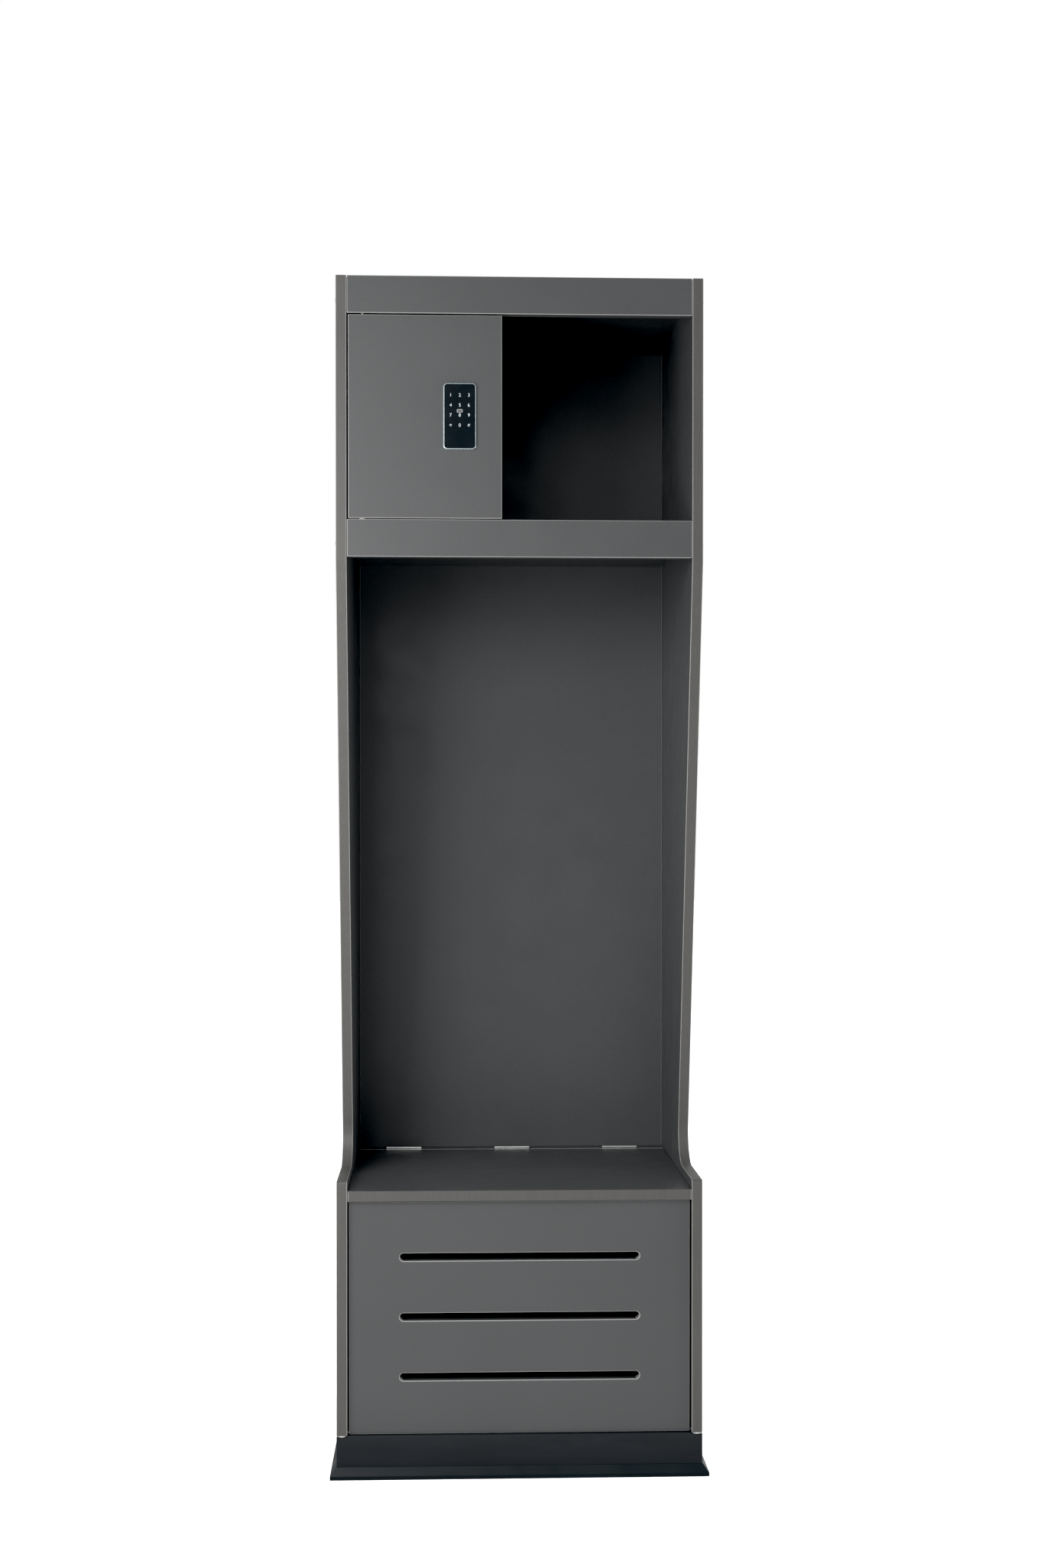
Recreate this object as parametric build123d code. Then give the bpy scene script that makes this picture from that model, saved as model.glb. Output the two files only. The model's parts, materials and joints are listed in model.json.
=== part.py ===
from build123d import *
import os

# Open-front gear locker in laminated board: two shaped side panels, an upper storey with a small
# keypad-locked cabinet beside an open cubby, a tall hanging bay, and a hinged seat lid over a vented
# foot compartment, all on a black plinth.
#
# Everything is drawn in millimetres with X to the right, Y into the locker from the plane of its
# front edges and Z up from the floor. save() then slides each piece forward or back so that the
# origin lies on the floor under the middle of the whole locker.

# Carcass
WIDTH = 610.0
DEPTH = 500.0
HEIGHT = 1994.0
BOARD = 18.0  # main board thickness
THIN_BOARD = 12.0  # roof, shelf and floor boards
BAND = 1.0  # plastic edge band on the front edges
EDGE_ROUND = 1.2  # rounding along the board edges
JOINT_GAP = 0.6  # hairline between a rail's end and the side panel
CARCASS_BASE = 71.0  # underside of the side panels
INNER = WIDTH / 2 - BOARD  # inner face of a side panel, from the middle
BACK_FACE = DEPTH - BOARD  # front face of the back panel

# Front outline of the side panels
SLOPE_TOP = 1522.0  # where the edge starts to run back
SLOPE_SETBACK = 214.5  # how far back the straight slope would be at shoulder height
BEND_RADIUS = 55.0  # hollow bend between the slope and the shoulder
SHOULDER = 494.0  # height of the armrest-like shoulder beside the seat
NOSE_RADIUS = 4.0  # rounding of the shoulder's front corner

# Upper storey
HEADER_BASE = 1932.0
MIDDLE_BASE = 1530.0
SHELF_TOP = 1592.0
ROOF_BASE = HEIGHT - THIN_BOARD
DOOR_X = (-284.5, -30.0)
DOOR_Z = (1593.5, 1929.5)
DOOR_BACK_GAP = 2.0  # between the closed door and the divider's front edge
DIVIDER_X = (DOOR_X[1] - BOARD, DOOR_X[1])
DIVIDER_FRONT = BOARD + DOOR_BACK_GAP

# Concealed pivot hinges of the door
PIVOT_X = DOOR_X[0] + 24.0
PIVOT_Y = BOARD / 2
PIVOT_R = 2.5
PIVOT_CLEARANCE = 0.05
BUSH_R = 4.5
BUSH_LENGTH = 12.0
PIN_REACH = 10.0  # how far each pin enters its bush
PIVOT_PLATE = (39.0, 14.0, 2.0)
PLATE_SCREW_OFFSET = 13.0
WASHER_R = 6.0
WASHER_CLEARANCE = 0.1
BUMPER_R = 4.0
BUMPER_INSET = 10.0  # from the door's top and bottom edges

# Seat
SEAT_TOP = 478.0
SEAT_BASE = SEAT_TOP - BOARD
LID_HALF = 286.2
LID_REAR = 443.5
REAR_RAIL_FRONT = 446.5
CLEAT = 18.0  # square support strips
PAD_THICKNESS = 1.5  # pads between the lid and its cleats
PAD_R = 4.0
PAD_DEPTHS = (70.0, 390.0)
CLEAT_TOP = SEAT_BASE - PAD_THICKNESS

# Butt hinges of the seat lid
HINGE_X = (-203.0, 0.0, 203.0)
HINGE_Y = (LID_REAR + REAR_RAIL_FRONT) / 2
HINGE_Z = SEAT_TOP + 3.3
BARREL_R = 2.4
HINGE_PIN_R = 1.25
HINGE_RUNNING = 0.05
HINGE_FIXED = 0.02
KNUCKLES = (9.0, 17.0, 13.0, 17.0, 9.0)
KNUCKLE_GAP = 0.2
LEAF = 1.4  # leaf thickness
LEAF_BASE = SEAT_BASE + 2.0
LEAF_DROP = 1.2  # top of a leaf below its barrel
LEAF_SCREW_X = (-22.0, 0.0, 22.0)
LEAF_SCREW_Z = SEAT_BASE + 9.0

# Vented front panel of the foot compartment
VENT_RECESS = 8.0
VENT_SIDE_GAP = 2.5
VENT_TOP_GAP = 1.5
SLOT_LENGTH = 400.0
SLOT_HEIGHT = 12.5
SLOT_TOP_Z = 366.0
SLOT_PITCH = 100.0
SLOT_BEVEL = 1.5
SLOT_COUNT = 3
BATTEN_DEPTH = 20.0

# Plinth
GLIDE = 3.0  # nylon glides between the carcass and the plinth
GLIDE_R = 8.6
GLIDE_ROUND = 1.0
PLINTH_TOP = CARCASS_BASE - GLIDE
TOE_FLARE = 10.5
TOE_TOP = 19.0
TOE_LIP = 6.4
TOE_TOP_LAND = 0.8
FRONT_TONGUE_GAP = 0.3  # between the plinth's front board and the vented panel above it
BRACKET_PLATE = 1.5
BRACKET_LEG = 28.0
BRACKET_HALF = 12.0  # half the bracket's width along the plinth
BRACKET_DEPTHS = (110.0, 390.0)
BRACKET_SCREW_DROP = 21.0

# Keypad lock
KEYPAD_X = -99.8
KEYPAD_Z = 1762.0
KEYPAD_SIZE = (54.6, 110.0)
KEYPAD_CORNER = 7.0
KEYPAD_RIM = 1.9
KEYPAD_PROUD = 4.0
RIM_ROUND = 1.0
GLASS_SUNK = 0.6  # glass face below the rim
BADGE_SIZE = (9.6, 5.4)
BADGE_RISE = 8.7  # badge centre above the keypad centre
BADGE_CORNER = 1.5
BADGE_PROUD = 0.3
BADGE_BORDER = 1.0
BADGE_RECESS = 0.15
CONNECTOR_R = 6.0
CONNECTOR_RISE = 36.0
CONNECTOR_CLEARANCE = 0.5
CASE_SIZE = (66.0, 24.0, 120.0)
CASE_WALL = 2.0
CASE_CORNER = 6.0
CASE_ROUND = 1.5
CASE_SCREW_X = 26.5
CASE_SCREW_Z = 52.0
BATTERY_R = 5.2
BATTERY_LENGTH = 44.5
BATTERY_BASE = KEYPAD_Z - 56.0
BATTERY_COUNT = 4
BATTERY_GAP = 0.3
COVER_SIZE = (50.0, 2.0, 52.0)
COVER_DROP = 2.0  # bottom of the hatch cover below the batteries
COVER_STEP = 6.0  # inset of the raised part of the cover
HATCH_MARGIN = 2.0
HATCH_CLEARANCE = 0.3
CIRCUIT_HALF = 21.0
CIRCUIT_THICKNESS = 1.6
CIRCUIT_RISE = (16.0, 54.0)  # board's bottom and top above the keypad centre
MOTOR_REACH = 29.0  # motor's left end from the keypad's middle
MOTOR_FRONT = 24.0
MOTOR_RISE = (-9.0, 12.0)
MOTOR_ROUND = 3.0
BOLT_X = (-100.0, -65.0)
BOLT_DEPTH = (25.0, 33.0)
BOLT_HALF_HEIGHT = 10.0
BOLT_CLEARANCE = 0.3
BOLT_MOTOR_GAP = 2.0
BOLT_CHAMFER = 0.8
KEEPER_X = (-62.0, DIVIDER_X[0])
KEEPER_PLATE = 2.0
KEEPER_BACK = 45.0
KEEPER_HALF_HEIGHT = 18.0
KEEPER_SCREW_RISE = 10.0

# Fasteners: shank radius, head radius and length
CARCASS_SCREW = (2.5, 4.2, 50.0)
CLEAT_SCREW = (2.0, 4.0, 29.0)
LEAF_SCREW = (1.2, 2.4, 14.0)
PLATE_SCREW = (1.4, 2.6, 14.0)
CASE_SCREW = (1.5, 2.8, 36.0)
BRACKET_SCREW = (1.8, 3.0, 12.0)
CAP_R = 4.5
CAP_DEPTH = 2.0
CAP_PROUD = 0.6
CAP_ROUND = 0.48
HOLE_CLEARANCE = 0.05
HEAD_LAND = 0.3
SOCKET_SHARE = 0.9  # hexagon socket's radius as a share of the shank's

# Screw places
ROOF_SCREW_RISE = 5.0  # keeps the caps clear of the top edge band
RAIL_SCREW_RISE = 22.0
BOARD_SCREW_DEPTHS = (80.0, 250.0, 420.0)
BACK_SCREW_LEVELS = (150.0, 620.0, 1090.0, 1560.0, 1900.0)
CLEAT_SCREW_DEPTHS = (90.0, 250.0, 410.0)
BATTEN_SCREW_LEVELS = (150.0, 360.0)
REAR_CLEAT_SCREW_X = (-200.0, 0.0, 200.0)

FRONT_SHIFT = (TOE_FLARE - DEPTH) / 2  # puts the origin under the middle of the depth


def block(x, y, z):
    """A plain box between the low and high values of each axis."""
    corner = (x[0], y[0], z[0])
    size = (x[1] - x[0], y[1] - y[0], z[1] - z[0])
    return Pos(*corner) * Box(*size, align=(Align.MIN, Align.MIN, Align.MIN))


def board(x, y, z):
    """A board with softly rounded edges."""
    plain = block(x, y, z)
    return fillet(plain.edges(), EDGE_ROUND)


def across(half):
    """A span with its middle at zero, such as the X span of a piece centred on the locker."""
    return (-half, half)


def save(name, *pieces):
    """Write one sub-part, with the origin moved under the middle of the locker."""
    solids = [solid for piece in pieces for solid in piece.solids()]
    moved = [solid.moved(Location((0, FRONT_SHIFT, 0))) for solid in solids]
    shape = moved[0] if len(moved) == 1 else Compound(children=moved)
    export_step(shape, os.path.join("parts", name + ".step"))


# ---------------------------------------------------------------- fasteners


def countersunk(kind, grow=0.0):
    """A countersunk screw down the Z axis with its head flat at Z = 0."""
    shank, head, length = kind
    cone = head - shank
    outline = Polyline(
        (0, 0, 0),
        (head + grow, 0, 0),
        (head + grow, 0, -HEAD_LAND - grow),
        (shank + grow, 0, -HEAD_LAND - cone - grow),
        (shank + grow, 0, shank - length),
        (0, 0, -length - grow),
        close=True,
    )
    return revolve(make_face(outline), Axis.Z)


def screws(kind, places):
    """Real screws with a hexagon socket at each (point, outward direction)."""
    socket = extrude(RegularPolygon(kind[0] * SOCKET_SHARE, 6), amount=-kind[0])
    screw = countersunk(kind) - socket
    return [Plane(origin=at, z_dir=out) * screw for at, out in places]


def holes(kind, places):
    """Matching holes for screws at the same places."""
    hole = countersunk(kind, HOLE_CLEARANCE)
    return [Plane(origin=at, z_dir=out) * hole for at, out in places]


def rod(radius, start, direction, length):
    """A cylinder from a point along a direction."""
    return Plane(origin=start, z_dir=direction) * Cylinder(
        radius, length, align=(Align.CENTER, Align.CENTER, Align.MIN)
    )


def side_screw_places(side):
    """Sunk screws through one side panel into the ends of the boards between the sides."""
    board_levels = (
        ROOF_BASE + ROOF_SCREW_RISE,
        SHELF_TOP - THIN_BOARD / 2,
        CARCASS_BASE + THIN_BOARD / 2,
    )
    spots = [(depth, level) for depth in BOARD_SCREW_DEPTHS for level in board_levels]
    spots += [(DEPTH - BOARD / 2, level) for level in BACK_SCREW_LEVELS]
    spots += [(BOARD / 2, base + RAIL_SCREW_RISE) for base in (HEADER_BASE, MIDDLE_BASE)]
    spots += [((REAR_RAIL_FRONT + BACK_FACE) / 2, SEAT_TOP - BOARD / 2)]
    head = side * (WIDTH / 2 - CAP_DEPTH)
    return [((head, depth, level), (side, 0, 0)) for depth, level in spots]


def all_side_screw_places():
    return side_screw_places(-1) + side_screw_places(1)


def cap_places(side):
    """Centres of the cap pockets in one side panel, at the bottom of each pocket."""
    return [at for at, _ in side_screw_places(side)]


def cleat_screw_places():
    """Screws that hold the side cleats, the battens and the rear cleat."""
    inner_face = INNER - CLEAT
    places = []
    for side in (-1, 1):
        for depth in CLEAT_SCREW_DEPTHS:
            level = CLEAT_TOP - CLEAT / 2
            places.append(((side * inner_face, depth, level), (-side, 0, 0)))
        for level in BATTEN_SCREW_LEVELS:
            depth = VENT_RECESS + BOARD + BATTEN_DEPTH / 2
            places.append(((side * inner_face, depth, level), (-side, 0, 0)))
    for x in REAR_CLEAT_SCREW_X:
        places.append(((x, BACK_FACE - CLEAT, SEAT_BASE - CLEAT / 2), (0, -1, 0)))
    return places


def keeper_screw_places():
    depth = (DIVIDER_FRONT + KEEPER_BACK) / 2
    face = KEEPER_X[1] - KEEPER_PLATE
    rises = (-KEEPER_SCREW_RISE, KEEPER_SCREW_RISE)
    return [((face, depth, KEYPAD_Z + rise), (-1, 0, 0)) for rise in rises]


def leaf_screw_places(face, facing):
    """Screws through the hinge leaves, into the board edge behind them."""
    return [
        ((hinge + offset, face, LEAF_SCREW_Z), (0, facing, 0))
        for hinge in HINGE_X
        for offset in LEAF_SCREW_X
    ]


def lid_leaf_screw_places():
    return leaf_screw_places(LID_REAR + LEAF, 1)


def rail_leaf_screw_places():
    return leaf_screw_places(REAR_RAIL_FRONT - LEAF, -1)


def pivot_screw_places(level, out):
    return [
        ((PIVOT_X + offset, PIVOT_Y, level), (0, 0, out))
        for offset in (-PLATE_SCREW_OFFSET, PLATE_SCREW_OFFSET)
    ]


def all_pivot_screw_places():
    return pivot_screw_places(HEADER_BASE, -1) + pivot_screw_places(SHELF_TOP, 1)


def case_screw_places():
    """Screws through the lock case into the back of the door."""
    rear = BOARD + CASE_SIZE[1]
    return [
        ((KEYPAD_X + dx, rear, KEYPAD_Z + dz), (0, 1, 0))
        for dx in (-CASE_SCREW_X, CASE_SCREW_X)
        for dz in (-CASE_SCREW_Z, CASE_SCREW_Z)
    ]


# ---------------------------------------------------------------- side panels


def side_outline():
    """The side panel's outline, with its hollow bend and rounded shoulder nose."""
    inner_corner = (0, SLOPE_SETBACK, SHOULDER)
    nose_corner = (0, 0, SHOULDER)
    face = make_face(
        Polyline(
            (0, DEPTH, CARCASS_BASE),
            (0, DEPTH, HEIGHT),
            (0, 0, HEIGHT),
            (0, 0, SLOPE_TOP),
            inner_corner,
            nose_corner,
            (0, 0, CARCASS_BASE),
            close=True,
        )
    )
    bend = face.vertices().sort_by_distance(inner_corner)[0]
    face = fillet(bend, BEND_RADIUS)
    nose = face.vertices().sort_by_distance(nose_corner)[0]
    return fillet(nose, NOSE_RADIUS)


def whole_side(side):
    """One side panel with its edge band still part of it."""
    start = INNER if side > 0 else -INNER - BOARD
    panel = Pos(start, 0, 0) * extrude(side_outline(), amount=BOARD, dir=(1, 0, 0))
    rims = [edge for face in panel.faces().filter_by(Axis.X) for edge in face.edges()]
    return fillet(rims, EDGE_ROUND)


def make_side(name, side):
    """The side panel and the edge band that follows its front and top edges."""
    whole = whole_side(side)
    core = whole & (Pos(0, BAND, -BAND) * whole)
    band = whole - core
    for hole in holes(CARCASS_SCREW, side_screw_places(side)):
        core = core - hole
    for at in cap_places(side):
        core = core - rod(CAP_R, at, (side, 0, 0), BOARD)
    for hole in holes(CLEAT_SCREW, cleat_screw_places()):
        core = core - hole
    save("side_panel_" + name, core)
    save("side_edge_band_" + name, band)


# ---------------------------------------------------------------- fixed boards


def make_carcass_boards():
    """Roof, rails, shelf, divider, floor and back."""
    screw_holes = holes(CARCASS_SCREW, all_side_screw_places())
    rail_span = across(INNER - JOINT_GAP)
    full_span = across(INNER)
    inside = (BOARD, BACK_FACE)
    boards = {
        "top_panel": board(full_span, inside, (ROOF_BASE, HEIGHT)),
        "cabinet_shelf": board(full_span, inside, (SHELF_TOP - THIN_BOARD, SHELF_TOP)),
        "header_rail": board(rail_span, (0, BOARD), (HEADER_BASE, HEIGHT)),
        "middle_rail": board(rail_span, (0, BOARD), (MIDDLE_BASE, SHELF_TOP)),
        "back_panel": board(full_span, (BACK_FACE, DEPTH), (CARCASS_BASE, HEIGHT)),
        "footlocker_floor": board(
            full_span,
            (VENT_RECESS + BOARD, BACK_FACE),
            (CARCASS_BASE, CARCASS_BASE + THIN_BOARD),
        ),
        "seat_rear_rail": board(rail_span, (REAR_RAIL_FRONT, BACK_FACE), (SEAT_BASE, SEAT_TOP)),
        "cabinet_divider": board(DIVIDER_X, (DIVIDER_FRONT, BACK_FACE), (SHELF_TOP, ROOF_BASE)),
    }
    extra = {
        "header_rail": pivot_cutters(HEADER_BASE, 1) + holes(PLATE_SCREW, all_pivot_screw_places()),
        "middle_rail": pivot_cutters(SHELF_TOP, -1) + holes(PLATE_SCREW, all_pivot_screw_places()),
        "back_panel": holes(CLEAT_SCREW, cleat_screw_places()),
        "footlocker_floor": holes(BRACKET_SCREW, bracket_screw_places()),
        "seat_rear_rail": holes(LEAF_SCREW, rail_leaf_screw_places()),
        "cabinet_divider": holes(PLATE_SCREW, keeper_screw_places()),
    }
    for name, piece in boards.items():
        for cutter in screw_holes + extra.get(name, []):
            piece = piece - cutter
        save(name, piece)


def make_vent_panel():
    """Front panel with three long slots whose front edges are bevelled."""
    rear = VENT_RECESS + BOARD
    top = SEAT_BASE - VENT_TOP_GAP
    panel = board(across(INNER - VENT_SIDE_GAP), (VENT_RECESS, rear), (CARCASS_BASE, top))
    for row in range(SLOT_COUNT):
        level = SLOT_TOP_Z - row * SLOT_PITCH
        face = Plane(origin=(0, 0, level), x_dir=(1, 0, 0), z_dir=(0, 1, 0))
        panel = panel - extrude(face * SlotOverall(SLOT_LENGTH, SLOT_HEIGHT), amount=2 * rear)
    front = panel.faces().sort_by(Axis.Y)[0]
    rims = [edge for wire in front.inner_wires() for edge in wire.edges()]
    save("vent_panel", chamfer(rims, SLOT_BEVEL))


def make_supports():
    """Cleats under the lid and battens behind the vent panel, with their screws."""
    cutters = holes(CLEAT_SCREW, cleat_screw_places())
    rear = VENT_RECESS + BOARD
    batten_y = (rear, rear + BATTEN_DEPTH)
    cleat_y = (rear + BATTEN_DEPTH, BACK_FACE - CLEAT)
    battens, cleats = [], []
    for side in (-1, 1):
        span = tuple(sorted((side * (INNER - CLEAT), side * INNER)))
        battens.append(block(span, batten_y, (CARCASS_BASE + THIN_BOARD, CLEAT_TOP)))
        cleats.append(block(span, cleat_y, (CLEAT_TOP - CLEAT, CLEAT_TOP)))
    rear_cleat = block(across(INNER), (BACK_FACE - CLEAT, BACK_FACE), (SEAT_BASE - CLEAT, SEAT_BASE))
    supports = {"vent_battens": battens, "lid_cleats": cleats, "rear_cleat": [rear_cleat]}
    for name, pieces in supports.items():
        save(name, *[piece - cutters for piece in pieces])
    save("cleat_screws", *screws(CLEAT_SCREW, cleat_screw_places()))


def make_carcass_fasteners():
    """Sunk carcass screws and the caps that cover them."""
    save("carcass_screws", *screws(CARCASS_SCREW, all_side_screw_places()))
    caps = []
    for side in (-1, 1):
        for at in cap_places(side):
            cap = rod(CAP_R - HOLE_CLEARANCE, at, (side, 0, 0), CAP_DEPTH + CAP_PROUD)
            outer = cap.edges().sort_by(Axis.X)[-1 if side > 0 else 0]
            caps.append(fillet(outer, CAP_ROUND))
    save("screw_caps", *caps)


# ---------------------------------------------------------------- plinth


def toe_profile():
    """Section of the toe skirting: a low lip that slopes back up to the plinth."""
    return make_face(
        Polyline(
            (0, 0, 0),
            (0, -TOE_FLARE, 0),
            (0, -TOE_FLARE, TOE_LIP),
            (0, -TOE_TOP_LAND, TOE_TOP),
            (0, 0, TOE_TOP),
            close=True,
        )
    )


def make_toe_skirting():
    """Front and side skirting, mitred where they meet."""
    half = WIDTH / 2
    outer = half + TOE_FLARE
    front = Pos(-outer, 0, 0) * extrude(toe_profile(), amount=2 * outer, dir=(1, 0, 0))
    mitre = make_face(
        Polyline((-outer, -TOE_FLARE), (outer, -TOE_FLARE), (half, 0), (-half, 0), close=True)
    )
    save("toe_skirting_front", front & extrude(mitre, amount=TOE_TOP))
    run = Pos(-TOE_FLARE, 0, 0) * extrude(toe_profile(), amount=DEPTH + TOE_FLARE, dir=(1, 0, 0))
    side_plan = make_face(
        Polyline((half, 0), (outer, -TOE_FLARE), (outer, DEPTH), (half, DEPTH), close=True)
    )
    right = (Pos(half, 0, 0) * Rot(0, 0, 90) * run) & extrude(side_plan, amount=TOE_TOP)
    save("toe_skirting_right", right)
    save("toe_skirting_left", mirror(right, about=Plane.YZ))


def bracket_screw_places():
    """Screws through the brackets, up into the floor board and out into the plinth sides."""
    up, out = [], []
    for side in (-1, 1):
        for depth in BRACKET_DEPTHS:
            face = INNER - BRACKET_PLATE
            under = CARCASS_BASE - BRACKET_PLATE
            up.append(((side * (INNER - BRACKET_LEG / 2), depth, under), (0, 0, -1)))
            out.append(((side * face, depth, CARCASS_BASE - BRACKET_SCREW_DROP), (-side, 0, 0)))
    return up + out


def make_base_brackets():
    """Small steel angles that tie the plinth sides to the floor board."""
    cutters = holes(BRACKET_SCREW, bracket_screw_places())
    brackets = []
    for side in (-1, 1):
        for depth in BRACKET_DEPTHS:
            span_y = (depth - BRACKET_HALF, depth + BRACKET_HALF)
            upright = sorted((side * (INNER - BRACKET_PLATE), side * INNER))
            arm = sorted((side * (INNER - BRACKET_LEG), side * INNER))
            leg = block(upright, span_y, (CARCASS_BASE - BRACKET_LEG, CARCASS_BASE))
            top = block(arm, span_y, (CARCASS_BASE - BRACKET_PLATE, CARCASS_BASE))
            brackets.append((leg + top) - cutters)
    save("base_brackets", *brackets)
    save("bracket_screws", *screws(BRACKET_SCREW, bracket_screw_places()))


def make_plinth():
    """Four black boards under the carcass and the glides that carry it.

    The front board is notched at its top corners for the glides and closes the gap between them.
    """
    half = WIDTH / 2
    level = (0, PLINTH_TOP)
    front = board(across(half), (0, BOARD), (0, CARCASS_BASE - FRONT_TONGUE_GAP))
    for side in (-1, 1):
        corner = sorted((side * INNER, side * half))
        front = front - block(corner, (0, BOARD), (PLINTH_TOP, CARCASS_BASE))
    save("plinth_front", front)
    save("plinth_rear", board(across(half), (BACK_FACE, DEPTH), level))
    cutters = holes(BRACKET_SCREW, bracket_screw_places())
    for name, span in (("left", (-half, -INNER)), ("right", (INNER, half))):
        save("plinth_" + name, board(span, (BOARD, BACK_FACE), level) - cutters)
    glides = []
    for x in (-half + BOARD / 2, half - BOARD / 2):
        for y in (BOARD / 2, DEPTH - BOARD / 2):
            glide = rod(GLIDE_R, (x, y, PLINTH_TOP), (0, 0, 1), GLIDE)
            rim = glide.edges().filter_by(GeomType.CIRCLE).sort_by(Axis.Z)[0]
            glides.append(fillet(rim, GLIDE_ROUND))
    save("base_glides", *glides)


# ---------------------------------------------------------------- door and its pivots


def pivot_cutters(face, inward):
    """Recess for a pivot plate let into a rail, from the rail's face inwards."""
    length, width, thickness = PIVOT_PLATE
    levels = sorted((face, face + inward * thickness))
    margin = HOLE_CLEARANCE
    return [
        block(
            (PIVOT_X - length / 2 - margin, PIVOT_X + length / 2 + margin),
            (PIVOT_Y - width / 2 - margin, PIVOT_Y + width / 2 + margin),
            levels,
        )
    ]


def pivot_plate(face, inward, pin_end):
    """A let-in plate with its pin, which reaches into the door."""
    length, width, thickness = PIVOT_PLATE
    levels = sorted((face, face + inward * thickness))
    plate = block(
        (PIVOT_X - length / 2, PIVOT_X + length / 2),
        (PIVOT_Y - width / 2, PIVOT_Y + width / 2),
        levels,
    )
    pin_low, pin_high = sorted((levels[0] if inward > 0 else levels[1], pin_end))
    pin = rod(PIVOT_R, (PIVOT_X, PIVOT_Y, pin_low), (0, 0, 1), pin_high - pin_low)
    return (plate + pin) - holes(PLATE_SCREW, all_pivot_screw_places())


def make_door_pivots():
    """Pins on the rails, bushes in the door and the washer that carries the door."""
    bottom, top = DOOR_Z
    upper = pivot_plate(HEADER_BASE, 1, top - PIN_REACH)
    lower = pivot_plate(SHELF_TOP, -1, bottom + PIN_REACH)
    save("door_pivot_pins", upper, lower)
    save("pivot_plate_screws", *screws(PLATE_SCREW, all_pivot_screw_places()))
    bore = rod(PIVOT_R + PIVOT_CLEARANCE, (PIVOT_X, PIVOT_Y, bottom), (0, 0, 1), top - bottom)
    shell = BUSH_R - HOLE_CLEARANCE
    low_bush = rod(shell, (PIVOT_X, PIVOT_Y, bottom), (0, 0, 1), BUSH_LENGTH)
    top_bush = rod(shell, (PIVOT_X, PIVOT_Y, top - BUSH_LENGTH), (0, 0, 1), BUSH_LENGTH)
    save("door_pivot_bushes", low_bush - bore, top_bush - bore)
    seat = (PIVOT_X, PIVOT_Y, SHELF_TOP)
    thickness = bottom - SHELF_TOP - WASHER_CLEARANCE
    washer = rod(WASHER_R, seat, (0, 0, 1), thickness)
    save("door_washer", washer - rod(PIVOT_R + WASHER_CLEARANCE, seat, (0, 0, 1), thickness))


def make_door():
    """Inset door with its bush bores, cable hole and screw holes, and two bumper pads."""
    bottom, top = DOOR_Z
    door = board(DOOR_X, (0, BOARD), DOOR_Z)
    door = door - rod(BUSH_R, (PIVOT_X, PIVOT_Y, bottom), (0, 0, 1), BUSH_LENGTH)
    door = door - rod(BUSH_R, (PIVOT_X, PIVOT_Y, top - BUSH_LENGTH), (0, 0, 1), BUSH_LENGTH)
    cable_hole = (KEYPAD_X, 0, KEYPAD_Z + CONNECTOR_RISE)
    door = door - rod(CONNECTOR_R + CONNECTOR_CLEARANCE, cable_hole, (0, 1, 0), BOARD)
    door = door - holes(CASE_SCREW, case_screw_places())
    save("door_panel", door)
    x = sum(DIVIDER_X) / 2
    levels = (bottom + BUMPER_INSET, top - BUMPER_INSET)
    bumpers = [rod(BUMPER_R, (x, BOARD, level), (0, 1, 0), DOOR_BACK_GAP) for level in levels]
    save("door_bumpers", *bumpers)


# ---------------------------------------------------------------- keypad lock


def keypad_plate(inset, proud, corner):
    """A round-cornered plate on the door's face, inset from the keypad's outline."""
    width, height = KEYPAD_SIZE
    face = Plane(origin=(KEYPAD_X, 0, KEYPAD_Z), x_dir=(1, 0, 0), z_dir=(0, -1, 0))
    outline = RectangleRounded(width - 2 * inset, height - 2 * inset, corner)
    return extrude(face * outline, amount=proud)


def make_keypad():
    """Thin metal rim, dark glass touch panel, blank badge and the plug behind the glass."""
    rim = keypad_plate(0, KEYPAD_PROUD, KEYPAD_CORNER)
    rim = fillet(rim.faces().sort_by(Axis.Y)[0].edges(), RIM_ROUND)
    opening = keypad_plate(KEYPAD_RIM, KEYPAD_PROUD + 1, KEYPAD_CORNER - KEYPAD_RIM)
    save("keypad_rim", rim - opening)
    glass_height = KEYPAD_PROUD - GLASS_SUNK
    gap = KEYPAD_RIM + HOLE_CLEARANCE
    save("keypad_glass", keypad_plate(gap, glass_height, KEYPAD_CORNER - gap))
    badge_face = Plane(
        origin=(KEYPAD_X, -glass_height, KEYPAD_Z + BADGE_RISE), x_dir=(1, 0, 0), z_dir=(0, -1, 0)
    )
    badge = extrude(badge_face * RectangleRounded(*BADGE_SIZE, BADGE_CORNER), amount=BADGE_PROUD)
    inner = [size - 2 * BADGE_BORDER for size in BADGE_SIZE]
    recess = RectangleRounded(*inner, BADGE_CORNER - BADGE_BORDER)
    save("keypad_badge", badge - extrude(badge_face.offset(BADGE_PROUD) * recess, amount=-BADGE_RECESS))
    plug_start = (KEYPAD_X, 0, KEYPAD_Z + CONNECTOR_RISE)
    save("keypad_connector", rod(CONNECTOR_R, plug_start, (0, 1, 0), BOARD))


def case_block(shrink, depth):
    """The lock case's outer or inner form on the back of the door."""
    width, _, height = CASE_SIZE
    face = Plane(origin=(KEYPAD_X, BOARD, KEYPAD_Z), x_dir=(1, 0, 0), z_dir=(0, 1, 0))
    outline = RectangleRounded(width - 2 * shrink, height - 2 * shrink, CASE_CORNER - shrink)
    return extrude(face * outline, amount=depth)


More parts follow.
